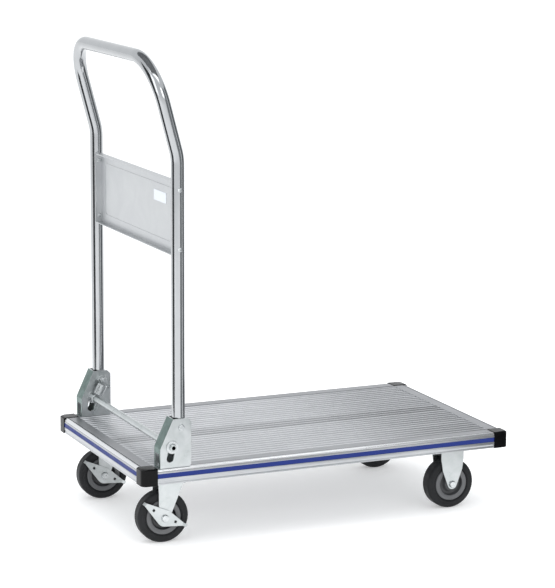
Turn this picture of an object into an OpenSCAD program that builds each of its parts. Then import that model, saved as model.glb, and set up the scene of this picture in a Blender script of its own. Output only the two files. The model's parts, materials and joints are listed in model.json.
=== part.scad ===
// Platform trolley: ribbed aluminium platform in an edge frame, four casters, folding push handle.
// Frame: +X runs along the platform away from the handle, Y runs across it, +Z is up.
// The origin is on the floor under the middle of the platform.

/* [Platform] */
// Length of the platform over its corner caps
deck_length = 770; // [680:10:960]
// Width of the platform over its corner caps
deck_width = 470; // [420:10:600]
// Height of the edge profiles
profile_height = 30; // [28:1:36]
// Width of the edge profiles, seen from above
profile_width = 30; // [28:1:36]
// Wall of the edge profiles
profile_wall = 2.5; // [2:0.1:3]
// Radius of the edge profiles' outer top edge
profile_radius = 7; // [4:0.5:9]
// Height of the deck planks' hollow section
plank_height = 18.8; // [16:0.2:20]
// Wall of the deck planks
plank_wall = 2; // [1.5:0.1:2.4]
// Width of the narrow plank in the middle
centre_plank_width = 48; // [30:2:80]
// Spacing of the tread ribs
rib_pitch = 15; // [10:1:20]
// Height of the tread ribs
rib_height = 1.2; // [0.6:0.1:1.6]

/* [Edge strips and corner caps] */
// Visible width of the coloured insert strip
strip_width = 9; // [6:0.5:10]
// Height of the strip's lower edge above the bottom of the profile
strip_offset = 12; // [10:0.5:14]
// Depth of the strip's channel
strip_depth = 3; // [2:0.5:4]
// Length of a corner cap along each side
cap_leg = 30; // [28:1:40]
// How far the corner caps stand proud of the profiles
cap_proud = 1; // [0.5:0.1:2]

/* [Casters] */
// Diameter of the wheels
wheel_diameter = 100; // [96:1:120]
// Width of the tyres
tyre_width = 30; // [26:1:32]
// Height of the caster's mounting face above the top of its wheel
caster_headroom = 30; // [28:1:40]
// Distance from the platform's end to the swivel axis of the handle end's casters
swivel_inset = 82; // [82:1:120]
// Distance from the platform's end to the fixed wheels' axle
fixed_inset = 95; // [90:1:120]
// Distance from the platform's side to the middle of a caster
caster_side_inset = 70; // [68:1:100]
// Trail of the swivel casters
caster_trail = 18; // [12:1:30]
// Angle at which the swivel casters stand
swivel_angle = -3; // [-180:1:180]
// Diameter of the axles
axle_diameter = 8; // [6:1:10]
// Sheet thickness of the forks
fork_sheet = 2.5; // [2:0.1:3]

/* [Handle] */
// Total height of the handle above the floor
handle_height = 930; // [860:5:1050]
// Height above the floor of the bend where the handle starts to lean back
handle_bend_height = 738; // [700:2:760]
// Angle by which the handle's upper part leans back
handle_lean = 15; // [5:1:20]
// Outer diameter of the handle tube
tube_diameter = 25; // [22:0.5:28]
// Wall of the handle tube
tube_wall = 1.5; // [1.2:0.1:2]
// Distance from the platform's side to the middle of a handle leg
leg_inset = 18; // [18:0.5:24]
// Centreline radius of the handle's top corners
corner_radius = 85; // [50:1:110]
// Centreline radius of the bend where the handle starts to lean back
bend_radius = 100; // [60:5:150]
// Height of the handle's sheet panel
panel_height = 138; // [80:2:160]
// Height of the panel's middle above the floor
panel_middle = 624; // [560:2:640]
// Depth of the panel's flanges
panel_depth = 14; // [8:1:20]

/* [Handle brackets] */
// Height of the handle's pivot above the platform
pivot_height = 75; // [70:1:90]
// Distance from the platform's end to the handle's pivot
pivot_inset = 78; // [76:1:100]
// Sheet thickness of the brackets
bracket_sheet = 2.5; // [2:0.5:3]
// Diameter of the pivot bolts
pivot_diameter = 10; // [8:1:12]
// Diameter of the foot release bar
bar_diameter = 13; // [11:0.5:14]
// Travel of the foot release bar
bar_travel = 22; // [12:1:23]

/* [Hidden] */
fine = 64;
running = 0.05;           // radial clearance of a pin in its bore
gap = 0.4;                // space between pieces that move past each other
joint_gap = 0.2;          // space between pieces that are pushed together

caster_height = wheel_diameter + caster_headroom;
deck_top = caster_height + profile_height;
half_length = deck_length / 2;
half_width = deck_width / 2;
leg_offset = half_width - leg_inset;

// deck planks
inner_length = deck_length - 2 * profile_width;
inner_width = deck_width - 2 * profile_width;
side_plank_width = (inner_width - centre_plank_width) / 4;
plank_bottom = deck_top - rib_height - plank_height;
rib_width = 4;
rib_top_width = 2.4;
chambers = 3;

// bearers under the deck
bearer_web = 82;
bearer_lip = 10.5;
bearer_sheet = 3;
bearer_screw_radius = 2.5;

// casters
wheel_radius = wheel_diameter / 2;
axle_radius = axle_diameter / 2;
plate_x = 80;
plate_y = 85;
plate_sheet = 3;
plate_hole_x = 60;
plate_hole_y = 60;
caster_bolt_radius = 4;
hub_half = tyre_width / 2 + 2;
fork_inner = hub_half + 0.7;
fork_outer = fork_inner + fork_sheet;
crown_top = caster_height - plate_sheet - 10;
crown_bottom = crown_top - plate_sheet;
race_boss_height = 3;
race_boss_radius = 24;
ball_circle = 20;
ball_count = 12;
ball_radius = (caster_height - plate_sheet - crown_top - race_boss_height - gap) / 2;
skirt_radius = 26;
skirt_wall = 2;
kingpin_radius = 6;
kingpin_head_radius = 11;
swivel_x = -half_length + swivel_inset;
fixed_x = half_length - fixed_inset;
caster_y = half_width - caster_side_inset;
crown_radius = 30;
fork_front = 20;                           // reach of a swivel fork's legs in front of its axis
fork_reach = 11;
boss_radius = 10;
tyre_bore = wheel_radius * 0.68;
bush_radius = axle_radius + 4;
hub_boss_radius = bush_radius + 6;
hub_web_half = 5;
axle_head = 4;
axle_nut = 6.5;

// brake levers
lever_sheet = 2.5;
lever_inner = fork_outer + gap;
lever_outer = lever_inner + lever_sheet;
lever_boss_radius = 16;
lever_tip_rear = [-38, 30];
lever_tip_front = [36, -15];
lever_tip_radius = 3;
lever_hole = 5;
lever_hole_place = 0.58;                   // how far along its arm each hole lies
lever_tab = 9;
axle_rear = fork_outer;                    // plain side of the fork
axle_front = lever_outer + gap;            // lever's side of the fork

// handle
tube_radius = tube_diameter / 2;
pivot_x = -half_length + pivot_inset;
pivot_z = deck_top + pivot_height;
pivot_radius = pivot_diameter / 2;
sleeve_radius = pivot_radius + 2;
bend_step = 0.1;                           // extra wall of the bends
tube_stub = 25.5;                          // tube below the pivot, on its longer side
stub_mitre = 11.5;                         // the mitre's rise across the tube
bend_start = handle_bend_height - bend_radius * tan(handle_lean / 2);
lean_length = (handle_height - tube_radius - handle_bend_height) / cos(handle_lean)
              - bend_radius * tan(handle_lean / 2) - corner_radius;
panel_sheet = 1.5;
panel_front = pivot_x - panel_depth * 0.57;
panel_back = panel_front + panel_depth;
panel_half = leg_offset - tube_radius;
rivet_radius = 2.5;
rivet_drop = 14;
label_size = [62, 20];
label_sheet = 0.5;
label_inset = 87;
label_y = -panel_half + label_inset;
label_z = panel_middle + 28;

// handle brackets, measured from the pivot
bracket_inner = tube_radius + 0.6;
bracket_outer = bracket_inner + bracket_sheet;
cheek_front = 20;
cheek_rear = 42;
cheek_top = 17;
cheek_top_rear = 16.5;
cheek_knee = -38;
stop_top = -22;
stop_height = 48;
bracket_screw_radius = 3;
slot_tilt = 11.6;                          // the slot's lean from the vertical
bar_x = -18;
bar_z = -36;
bar_radius = bar_diameter / 2;
bar_wall = 2.8;
bar_overhang = 8;
bar_half = leg_offset + bracket_outer + bar_overhang;
washer_radius = 12;
washer_sheet = 2;
spring_angle = atan2(-bar_x, -bar_z);
spring_span = sqrt(bar_x * bar_x + bar_z * bar_z);
spring_radius = 10;
spring_wire = 1;
spring_stud_radius = 4;
pivot_nut = 8;
spring_y = leg_offset - bracket_outer - pivot_nut - gap - spring_radius;

aluminium = [0.72, 0.73, 0.75];
dull_aluminium = [0.62, 0.63, 0.64];
zinc = [0.78, 0.81, 0.80];
chrome = [0.80, 0.80, 0.82];
blue = [0.17, 0.25, 0.56];
black = [0.08, 0.08, 0.09];
rubber = [0.16, 0.16, 0.17];
rim_grey = [0.38, 0.38, 0.39];

// ---------- helpers ----------

// a rod or tube along Y, centred on the origin
module rod_y(radius, length) {
    rotate([90, 0, 0]) cylinder(r = radius, h = length, center = true, $fn = fine);
}

// a rod along Y from one Y to another
module rod_between(radius, y0, y1) {
    translate([0, (y0 + y1) / 2, 0]) rod_y(radius, abs(y1 - y0));
}

// a sheet shape drawn in X and Z, extruded from y0 to y1
module sheet_xz(y0, y1) {
    translate([0, y1, 0]) rotate([90, 0, 0]) linear_extrude(y1 - y0) children();
}

// a hexagon prism along Z, measured across its flats
module hex_prism(flats, height) {
    cylinder(r = flats / 2 / cos(30), h = height, $fn = 6);
}

// a copy on each side of the platform
module both_sides() {
    for (side = [-1, 1]) translate([0, side * leg_offset, 0]) children();
}

module rounded_rectangle(size, radius) {
    for (x = [-1, 1]) for (y = [-1, 1])
        translate([x * (size[0] / 2 - radius), y * (size[1] / 2 - radius)]) circle(r = radius, $fn = 32);
    square([size[0] - 2 * radius, size[1]], center = true);
    square([size[0], size[1] - 2 * radius], center = true);
}

// ---------- deck ----------

function plank_left(index) = -inner_width / 2
    + (index < 3 ? index * side_plank_width : (index - 1) * side_plank_width + centre_plank_width);
function plank_width(index) = index == 2 ? centre_plank_width : side_plank_width;
function plank_middle(index) = plank_left(index) + plank_width(index) / 2;

// cross-section of a plank: Y to the right, Z up from its underside
module plank_section(width) {
    cell = (width - (chambers + 1) * plank_wall) / chambers;
    ribs = floor(width / rib_pitch);
    difference() {
        square([width, plank_height]);
        for (i = [0 : chambers - 1])
            translate([plank_wall + i * (cell + plank_wall), plank_wall])
                square([cell, plank_height - 2 * plank_wall]);
    }
    for (i = [0 : ribs - 1])
        translate([width / 2 + (i - (ribs - 1) / 2) * rib_pitch, plank_height])
            polygon([[-rib_width / 2, -0.1], [rib_width / 2, -0.1], [rib_width / 2, 0],
                     [rib_top_width / 2, rib_height], [-rib_top_width / 2, rib_height], [-rib_width / 2, 0]]);
}

module deck_plank(index) {
    color(dull_aluminium) difference() {
        translate([-inner_length / 2, plank_left(index) + joint_gap / 2, plank_bottom])
            rotate([90, 0, 90]) linear_extrude(inner_length) plank_section(plank_width(index) - joint_gap);
        bearer_screw_places(index) translate([0, 0, -1]) cylinder(r = bearer_screw_radius, h = plank_wall + 2, $fn = 24);
    }
}

// places where the bearers' screws enter one plank, on its underside
module bearer_screw_places(index) {
    for (x = [swivel_x, fixed_x]) for (side = [-1, 1])
        translate([x + side * (bearer_web / 2 + bearer_lip / 2), plank_middle(index), plank_bottom]) children();
}

// ---------- edge frame ----------

// cross-section of an edge profile: X from its inner face outwards, Y up from its bottom
module profile_section() {
    difference() {
        union() {
            square([profile_width, profile_height - profile_radius]);
            square([profile_width - profile_radius, profile_height]);
            translate([profile_width - profile_radius, profile_height - profile_radius])
                circle(r = profile_radius, $fn = fine);
        }
        profile_chamber();
        // channel of the coloured strip, wider behind its lips
        translate([profile_width - strip_depth, strip_offset]) square([strip_depth + 1, strip_width]);
        // shallow flutes above and below the strip
        translate([profile_width + 3.2, strip_offset + strip_width + 3]) circle(r = 4, $fn = 32);
        translate([profile_width + 3.2, strip_offset / 3]) circle(r = 4, $fn = 32);
        // groove along the top, next to the rounded edge
        translate([profile_width - profile_radius - 2, profile_height - 1.2]) square([1.5, 2]);
    }
}

// the hollow of the edge profile
module profile_chamber() {
    translate([profile_wall, profile_wall])
        square([profile_width - strip_depth - 2 * profile_wall, profile_height - 2 * profile_wall - 1]);
}

// an edge profile of the given length along X, its outer face towards -Y at y = 0
module edge_profile(length) {
    translate([-length / 2, profile_width, caster_height]) rotate([90, 0, 90]) linear_extrude(length)
        mirror([1, 0]) profile_section();
}

side_length = deck_length - 2 * cap_leg;
end_length = deck_width - 2 * cap_leg;

module side_profile(side) {
    color(aluminium) difference() {
        mirror([0, side > 0 ? 1 : 0, 0]) translate([0, -half_width, 0]) edge_profile(side_length);
        bracket_screw_places(side) translate([0, 0, -profile_height / 2])
            cylinder(r = bracket_screw_radius, h = profile_height, $fn = 24);
    }
}

module end_profile(end) {
    color(aluminium) rotate([0, 0, end < 0 ? -90 : 90])
        translate([0, -half_length, 0]) edge_profile(end_length);
}

// a coloured strip along X, its outer face just inside y = 0
module edge_strip(length) {
    inset = 0.3;
    translate([-length / 2, inset, caster_height + strip_offset])
        cube([length, strip_depth - inset, strip_width]);
}

module side_strips() {
    color(blue) for (side = [0, 1]) mirror([0, side, 0]) translate([0, -half_width, 0]) edge_strip(side_length);
}

module end_strips() {
    color(blue) for (turn = [-90, 90]) rotate([0, 0, turn]) translate([0, -half_length, 0]) edge_strip(end_length);
}

// a corner cap at the +X, +Y corner
module corner_cap() {
    reach = cap_leg + cap_proud;
    round_corner = 11;
    top_chamfer = 3;
    shell = 2.5;
    spigot = 8;
    spigot_depth = profile_width - strip_depth - 2 * profile_wall - 2 * joint_gap;
    translate([half_length - cap_leg, half_width - cap_leg, caster_height - cap_proud]) {
        difference() {
            hull() {
                for (level = [[0, 0], [profile_height + 2 * cap_proud - top_chamfer, 0],
                              [profile_height + 2 * cap_proud - 1, top_chamfer]])
                    translate([0, 0, level[0]]) linear_extrude(1) cap_outline(reach - level[1], round_corner);
            }
            // inner hollow, open downwards
            translate([shell, shell, -1])
                cube([reach - 2 * shell - 6, reach - 2 * shell - 6, profile_height + cap_proud - shell]);
        }
        // plugs that fit the hollow ends of the two profiles
        for (swap = [0, 1]) mirror([swap, -swap, 0])
            translate([-spigot, cap_leg - profile_width + profile_wall + joint_gap, cap_proud + profile_wall + joint_gap])
                cube([spigot + shell, spigot_depth, profile_height - 2 * profile_wall - 1 - 2 * joint_gap]);
    }
}

// plan of a corner cap, with its outer corner rounded
module cap_outline(reach, radius) {
    translate([reach - radius, reach - radius]) circle(r = radius, $fn = 32);
    square([reach, reach - radius]);
    square([reach - radius, reach]);
}

module placed_cap(end, side) {
    color(black) mirror([end < 0 ? 1 : 0, 0, 0]) mirror([0, side < 0 ? 1 : 0, 0]) corner_cap();
}

// ---------- bearers and fasteners under the deck ----------

module bearer_section() {
    height = plank_bottom - caster_height;
    half = bearer_web / 2;
    translate([-half, 0]) square([bearer_web, bearer_sheet]);
    for (side = [0, 1]) mirror([side, 0]) {
        translate([half - bearer_sheet, 0]) square([bearer_sheet, height]);
        translate([half - bearer_sheet, height - bearer_sheet]) square([bearer_lip + bearer_sheet, bearer_sheet]);
    }
}

module cross_bearer(x) {
    color(zinc) difference() {
        translate([x, inner_width / 2 - joint_gap, caster_height]) rotate([90, 0, 0])
            linear_extrude(inner_width - 2 * joint_gap) bearer_section();
        for (side = [-1, 1]) translate([x, side * caster_y, caster_height]) {
            caster_hole_places() cylinder(r = caster_bolt_radius, h = 20, center = true, $fn = 24);
            cylinder(r = kingpin_head_radius + 3, h = 20, center = true, $fn = fine);
        }
        for (index = [0 : 4]) bearer_screw_places(index)
            cylinder(r = bearer_screw_radius, h = 20, center = true, $fn = 24);
    }
}

module bearer_screws() {
    color(zinc) for (index = [0 : 4]) bearer_screw_places(index) {
        translate([0, 0, -bearer_sheet]) cylinder(r = bearer_screw_radius, h = bearer_sheet + 7, $fn = 24);
        translate([0, 0, -bearer_sheet - 3]) hex_prism(8, 3);
    }
}

module caster_hole_places() {
    for (x = [-1, 1]) for (y = [-1, 1]) translate([x * plate_hole_x / 2, y * plate_hole_y / 2, 0]) children();
}

// every hole for a caster bolt, at the casters' mounting face
module caster_bolt_places() {
    for (x = [swivel_x, fixed_x]) for (side = [-1, 1])
        translate([x, side * caster_y, caster_height]) caster_hole_places() children();
}

module caster_bolts() {
    color(zinc) caster_bolt_places() {
        translate([0, 0, -plate_sheet - 7.5]) cylinder(r = caster_bolt_radius, h = plate_sheet + bearer_sheet + 7.5, $fn = 24);
        translate([0, 0, bearer_sheet]) hex_prism(13, 5.3);
    }
}

module caster_nuts() {
    color(zinc) caster_bolt_places() translate([0, 0, -plate_sheet - 6.5]) difference() {
        hex_prism(13, 6.5);
        translate([0, 0, -1]) cylinder(r = caster_bolt_radius, h = 9, $fn = 24);
    }
}

// ---------- handle brackets ----------

// outline of a bracket's cheek, from the pivot
module cheek_outline() {
    polygon([[-cheek_rear, -pivot_height], [-cheek_rear, cheek_knee], [-cheek_top_rear, cheek_top],
             [cheek_front - 7, cheek_top], [cheek_front, cheek_top - 7],
             [cheek_front, -pivot_height + 4], [cheek_front - 4, -pivot_height]]);
}

// outline of the bracket's rear web and floor, from the pivot
module web_outline() {
    dx = cheek_rear - cheek_top_rear;
    dz = cheek_top - cheek_knee;
    level_inner = bracket_sheet * sqrt(dx * dx + dz * dz) / dz;
    knee_inner = bracket_sheet * (sqrt(dx * dx + dz * dz) - dz) / dx;
    polygon([[-cheek_rear, -pivot_height], [-cheek_rear, cheek_knee], [-cheek_top_rear, cheek_top],
             [-cheek_top_rear + level_inner, cheek_top], [-cheek_rear + bracket_sheet, cheek_knee - knee_inner],
             [-cheek_rear + bracket_sheet, -pivot_height + bracket_sheet],
             [cheek_front - 4, -pivot_height + bracket_sheet], [cheek_front - 4, -pivot_height]]);
}

// the slot in which the release bar slides, from the pivot
module slot_cut(length) {
    for (step = [0, bar_travel]) bar_place(step) rod_y(bar_radius + gap, length);
    bar_place(bar_travel / 2) cube([bar_diameter + 2 * gap, length, bar_travel], center = true);
}

// the release bar's axis after the given travel down its slots, from the pivot
module bar_place(travel) {
    translate([bar_x, 0, bar_z]) rotate([0, slot_tilt, 0]) translate([0, 0, -travel]) children();
}

// places of the two screws in one bracket's floor
module bracket_screw_places(side) {
    for (x = [-cheek_rear + 12, 4]) translate([pivot_x + x, side * leg_offset, deck_top]) children();
}

module handle_bracket(side) {
    window_height = 24;
    color(zinc) difference() {
        translate([pivot_x, side * leg_offset, pivot_z]) difference() {
            union() {
                for (turn = [0, 1]) mirror([0, turn, 0]) sheet_xz(bracket_inner, bracket_outer) cheek_outline();
                sheet_xz(-bracket_inner, bracket_inner) web_outline();
            }
            rod_y(pivot_radius, 4 * bracket_outer);
            slot_cut(4 * bracket_outer);
            // window in the rear web, down to the floor
            translate([-cheek_rear, 0, -pivot_height + bracket_sheet + window_height / 2])
                cube([3 * bracket_sheet, 20, window_height], center = true);
        }
        bracket_screw_places(side) translate([0, 0, -1]) cylinder(r = bracket_screw_radius, h = 3 * bracket_sheet, $fn = 24);
    }
}

module bracket_screws() {
    color(zinc) for (side = [-1, 1]) bracket_screw_places(side) {
        translate([0, 0, -12]) cylinder(r = bracket_screw_radius, h = 12 + bracket_sheet, $fn = 24);
        translate([0, 0, bracket_sheet]) cylinder(r1 = 6, r2 = 4.5, h = 2, $fn = 32);
    }
}

// plate between a bracket's cheeks that the upright tube rests against
module handle_stops() {
    color(zinc) both_sides() translate([pivot_x + tube_radius + gap, -bracket_inner, pivot_z + stop_top - stop_height])
        cube([bracket_sheet, 2 * bracket_inner, stop_height]);
}

module pivot_bolts() {
    head = 3.5;
    color(zinc) for (turn = [0, 1]) mirror([0, turn, 0]) translate([pivot_x, -leg_offset, pivot_z]) {
        rod_between(pivot_radius, -bracket_outer, bracket_outer + pivot_nut);
        rod_between(spring_stud_radius, bracket_outer + pivot_nut, leg_offset - spring_y + 5);
        // low round head on the outer cheek
        translate([0, -bracket_outer, 0]) rotate([90, 0, 0]) cylinder(r1 = pivot_radius + 1.8, r2 = pivot_radius, h = head, $fn = fine);
    }
}

module pivot_nuts() {
    color(zinc) for (turn = [0, 1]) mirror([0, turn, 0])
        translate([pivot_x, -leg_offset + bracket_outer + pivot_nut, pivot_z]) rotate([90, 0, 0]) difference() {
            hex_prism(17, pivot_nut);
            translate([0, 0, -1]) cylinder(r = pivot_radius, h = pivot_nut + 2, $fn = fine);
        }
}

// ---------- handle ----------

// cross-section of the handle tube, its wall thickened by the given amount on both faces
module tube_section(extra = 0) {
    difference() {
        circle(r = tube_radius + extra, $fn = fine);
        circle(r = tube_radius - tube_wall - extra, $fn = fine);
    }
}

// the bent tube, whose bends are a hair thicker than its straight stretches
module bent_tube() {
    for (turn = [0, 1]) mirror([0, turn, 0]) {
        translate([pivot_x, -leg_offset, pivot_z - tube_stub])
            linear_extrude(bend_start - pivot_z + tube_stub) tube_section();
        // bend where the handle starts to lean back
        translate([pivot_x - bend_radius, -leg_offset, bend_start]) rotate([90, 0, 0])
            rotate_extrude(angle = handle_lean, $fn = fine)
                translate([bend_radius, 0]) tube_section(bend_step);
        on_lean() translate([0, -leg_offset, 0]) {
            linear_extrude(lean_length) tube_section();
            // top corner
            translate([0, corner_radius, lean_length]) rotate([90, 0, -90])
                rotate_extrude(angle = 90, $fn = fine) translate([corner_radius, 0]) tube_section(bend_step);
        }
    }
    // grip bar
    on_lean() translate([0, 0, lean_length + corner_radius]) rotate([90, 0, 0])
        linear_extrude(2 * (leg_offset - corner_radius), center = true) tube_section();
}

// the start of the handle's leaning part, with Z along it
module on_lean() {
    translate([pivot_x - bend_radius, 0, bend_start]) rotate([0, -handle_lean, 0])
        translate([bend_radius, 0, 0]) children();
}

module handle_tube() {
    mitre = atan2(stub_mitre, tube_diameter);
    color(chrome) difference() {
        bent_tube();
        both_sides() translate([pivot_x, 0, pivot_z]) {
            rod_y(sleeve_radius, 3 * tube_radius);
            // slanted lower end
            translate([0, 0, -tube_stub + stub_mitre / 2]) rotate([0, mitre, 0])
                translate([0, 0, -tube_stub]) cube([4 * tube_diameter, 2 * tube_diameter, 2 * tube_stub], center = true);
        }
        rivet_places() rod_between(rivet_radius, -tube_diameter - 1, 1);
    }
}

// places of the panel's rivets, on the near and far legs' inner sides
module rivet_places() {
    for (turn = [0, 1]) mirror([0, turn, 0]) for (z = [-1, 1])
        translate([pivot_x, -panel_half, panel_middle + z * (panel_height / 2 - rivet_drop)]) children();
}

module panel_rivets() {
    color(zinc) rivet_places() {
        rod_between(rivet_radius, -tube_diameter, panel_sheet);
        translate([0, -tube_diameter, 0]) rotate([90, 0, 0]) cylinder(r1 = 4.5, r2 = 3, h = 1.6, $fn = 32);
        translate([0, panel_sheet, 0]) rotate([-90, 0, 0]) cylinder(r1 = 4.2, r2 = 3, h = 1.2, $fn = 32);
    }
}

module handle_panel() {
    face = panel_back - panel_sheet;
    border = 24;
    color([0.70, 0.71, 0.71]) difference() {
        union() {
            difference() {
                translate([panel_front, -panel_half, panel_middle - panel_height / 2])
                    cube([panel_depth, 2 * panel_half, panel_height]);
                translate([panel_front - 1, -panel_half + panel_sheet, panel_middle - panel_height / 2 + panel_sheet])
                    cube([panel_depth + 1 - panel_sheet, 2 * (panel_half - panel_sheet), panel_height - 2 * panel_sheet]);
            }
            // pressed bead round the middle of the panel
            translate([face + 0.1, 0, panel_middle]) rotate([0, -90, 0]) linear_extrude(0.9) difference() {
                rounded_rectangle([panel_height - border * 1.4, 2 * panel_half - border * 2], 10);
                rounded_rectangle([panel_height - border * 1.4 - 5, 2 * panel_half - border * 2 - 5], 7.5);
            }
        }
        rivet_places() rod_between(rivet_radius, -1, panel_sheet + 1);
    }
}

// plain sticker with no lettering
module panel_label() {
    color([0.93, 0.94, 0.95]) translate([panel_back - panel_sheet - label_sheet, label_y, label_z])
        rotate([0, 90, 0]) linear_extrude(label_sheet) rounded_rectangle([label_size[1], label_size[0]], 1.5);
}

// sleeves welded through the handle's legs, which turn on the pivot bolts
module pivot_sleeves() {
    color(zinc) both_sides() translate([pivot_x, 0, pivot_z]) difference() {
        rod_y(sleeve_radius, 2 * (bracket_inner - gap));
        rod_y(pivot_radius + running, 3 * bracket_inner);
    }
}

// ---------- foot release ----------

module release_bar() {
    color(zinc) translate([pivot_x, 0, pivot_z]) bar_place(0) difference() {
        rod_y(bar_radius, 2 * bar_half);
        rod_y(bar_radius - bar_wall, 2 * bar_half + 2);
    }
}

module bar_washers() {
    outer = leg_offset + bracket_outer + gap;
    inner = leg_offset - bracket_outer - gap - washer_sheet;
    color(zinc) translate([pivot_x, 0, pivot_z]) bar_place(0) for (y = [-outer - washer_sheet, -inner - washer_sheet, inner, outer])
        translate([0, y, 0]) difference() {
            rod_between(washer_radius, 0, washer_sheet);
            rod_y(bar_radius, 4 * washer_sheet);
        }
}

// latch plates on the bar, inside each bracket, whose fingers rise behind the tube's slanted end
module latch_plates() {
    half = 10;
    collar = 1.5;
    finger = 3;
    color(zinc) both_sides() translate([pivot_x, 0, pivot_z]) bar_place(0) difference() {
        union() {
            rod_y(bar_radius + collar, 2 * half);
            translate([3, -half, 0]) cube([3, 2 * half, bar_radius + finger]);
        }
        rod_y(bar_radius, 3 * half);
    }
}

// return springs between the pivot bolts' inner ends and the bar: a close-wound body with a ring at each end
module latch_springs() {
    body = spring_span - 2 * (bar_radius + 2 * spring_wire + gap) - 1;
    color(zinc) for (side = [-1, 1]) translate([pivot_x, side * spring_y, pivot_z]) rotate([0, spring_angle, 0]) {
        spring_ring(0, spring_stud_radius);
        spring_ring(-spring_span, bar_radius);
        translate([0, 0, -spring_stud_radius - 2 * spring_wire - body - 2]) difference() {
            cylinder(r = spring_radius, h = body, $fn = fine);
            translate([0, 0, spring_wire]) cylinder(r = spring_radius - 2 * spring_wire, h = body - 2 * spring_wire, $fn = fine);
        }
        translate([0, 0, -spring_stud_radius - 5 * spring_wire]) cylinder(r = spring_wire, h = 4 * spring_wire, $fn = 24);
        translate([0, 0, -spring_span + bar_radius + gap + spring_wire]) cylinder(r = spring_wire, h = 6, $fn = 24);
    }
}

module spring_ring(z, held_radius) {
    translate([0, 0, z]) rotate([90, 0, 0]) rotate_extrude($fn = fine)
        translate([held_radius + gap + spring_wire, 0]) circle(r = spring_wire, $fn = 24);
}

// ---------- casters ----------

// places the children at a swivel caster: origin on its swivel axis at floor level, wheel towards -X
module at_swivel(side) {
    translate([swivel_x, side * caster_y, 0]) rotate([0, 0, swivel_angle]) children();
}

module at_swivel_wheel(side) {
    at_swivel(side) translate([-caster_trail, 0, wheel_radius]) children();
}

module at_fixed_wheel(side) {
    translate([fixed_x, side * caster_y, wheel_radius]) children();
}

module mounting_plate() {
    linear_extrude(plate_sheet) difference() {
        rounded_rectangle([plate_x, plate_y], 8);
        for (x = [-1, 1]) for (y = [-1, 1])
            translate([x * plate_hole_x / 2, y * plate_hole_y / 2]) circle(r = caster_bolt_radius, $fn = 24);
    }
}

module swivel_plate(side) {
    color(zinc) translate([swivel_x, side * caster_y, caster_height - plate_sheet]) difference() {
        union() {
            mounting_plate();
            translate([0, 0, 2 - 10]) cylinder(r = skirt_radius + skirt_wall, h = 10, $fn = fine);
        }
        translate([0, 0, -10]) cylinder(r = skirt_radius, h = 10, $fn = fine);
        translate([0, 0, -1]) cylinder(r = kingpin_radius, h = plate_sheet + 2, $fn = fine);
    }
}

module kingpins() {
    head = 5;
    color(zinc) for (side = [-1, 1]) translate([swivel_x, side * caster_y, 0]) {
        translate([0, 0, crown_bottom - gap - 1]) cylinder(r = kingpin_radius, h = caster_height - crown_bottom + gap + 1, $fn = fine);
        translate([0, 0, caster_height]) cylinder(r1 = kingpin_head_radius, r2 = kingpin_radius, h = head, $fn = fine);
        translate([0, 0, crown_bottom - gap - head]) cylinder(r = kingpin_head_radius, h = head, $fn = fine);
    }
}

module swivel_balls() {
    color(zinc) for (side = [-1, 1]) for (i = [0 : ball_count - 1])
        translate([swivel_x, side * caster_y, caster_height - plate_sheet - ball_radius])
            rotate([0, 0, i * 360 / ball_count]) translate([ball_circle, 0, 0]) sphere(r = ball_radius, $fn = 24);
}

// outline of a swivel fork's leg, from the wheel's centre
module swivel_leg_outline() {
    top = crown_top - wheel_radius;
    hull() {
        circle(r = boss_radius, $fn = 32);
        translate([-fork_reach, 0]) square([1, top - 1]);
        translate([-fork_reach, top - 1]) square([fork_reach + caster_trail + fork_front, 1]);
    }
}

module swivel_fork(side) {
    color(zinc) at_swivel(side) difference() {
        union() {
            translate([0, 0, crown_bottom]) linear_extrude(plate_sheet) {
                intersection() {
                    circle(r = crown_radius, $fn = fine);
                    square([2 * crown_radius, 2 * fork_outer], center = true);
                }
                translate([-caster_trail - fork_reach, -fork_outer]) square([caster_trail + fork_reach, 2 * fork_outer]);
            }
            translate([0, 0, crown_top]) cylinder(r = race_boss_radius, h = race_boss_height, $fn = fine);
            translate([-caster_trail, 0, wheel_radius]) for (turn = [0, 1]) mirror([0, turn, 0])
                sheet_xz(fork_inner, fork_outer) swivel_leg_outline();
        }
        cylinder(r = kingpin_radius + running, h = 2 * caster_height, $fn = fine);
        translate([0, 0, crown_top + race_boss_height]) rotate_extrude($fn = fine)
            translate([ball_circle, gap]) circle(r = gap + 1, $fn = 24);
        translate([-caster_trail, 0, wheel_radius]) rod_y(axle_radius, 4 * fork_outer);
    }
}

// an axle bolt from the lever's or plain side at -y_head to the nut at y_nut
module axle_bolt(y_head, y_nut) {
    rod_between(axle_radius, -y_head, y_nut + axle_nut + 1);
    translate([0, -y_head, 0]) rotate([90, 0, 0]) cylinder(r1 = 7.5, r2 = 6, h = axle_head, $fn = fine);
    translate([0, y_nut + axle_nut, 0]) rotate([90, 0, 0]) difference() {
        hex_prism(13, axle_nut);
        translate([0, 0, -1]) cylinder(r = axle_radius + running, h = axle_nut + 2, $fn = fine);
    }
}

module swivel_axle(side) {
    color(zinc) at_swivel_wheel(side) axle_bolt(axle_front, axle_rear);
}

// rocking brake plate outside the fork, with a small square hole and a turned-out tab at each end
module brake_lever(side) {
    color(zinc) at_swivel_wheel(side) difference() {
        union() {
            sheet_xz(-lever_outer, -lever_inner) {
                lever_arm(lever_tip_rear);
                lever_arm(lever_tip_front);
            }
            lever_tab_at(lever_tip_rear);
            lever_tab_at(lever_tip_front);
        }
        rod_y(axle_radius + running, 4 * lever_outer);
        for (tip = [lever_tip_rear, lever_tip_front])
            translate([tip[0] * lever_hole_place, -lever_outer, tip[1] * lever_hole_place]) rotate([0, -atan2(tip[1], tip[0]), 0])
                cube([lever_hole, 4 * lever_sheet, lever_hole], center = true);
    }
}

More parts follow.
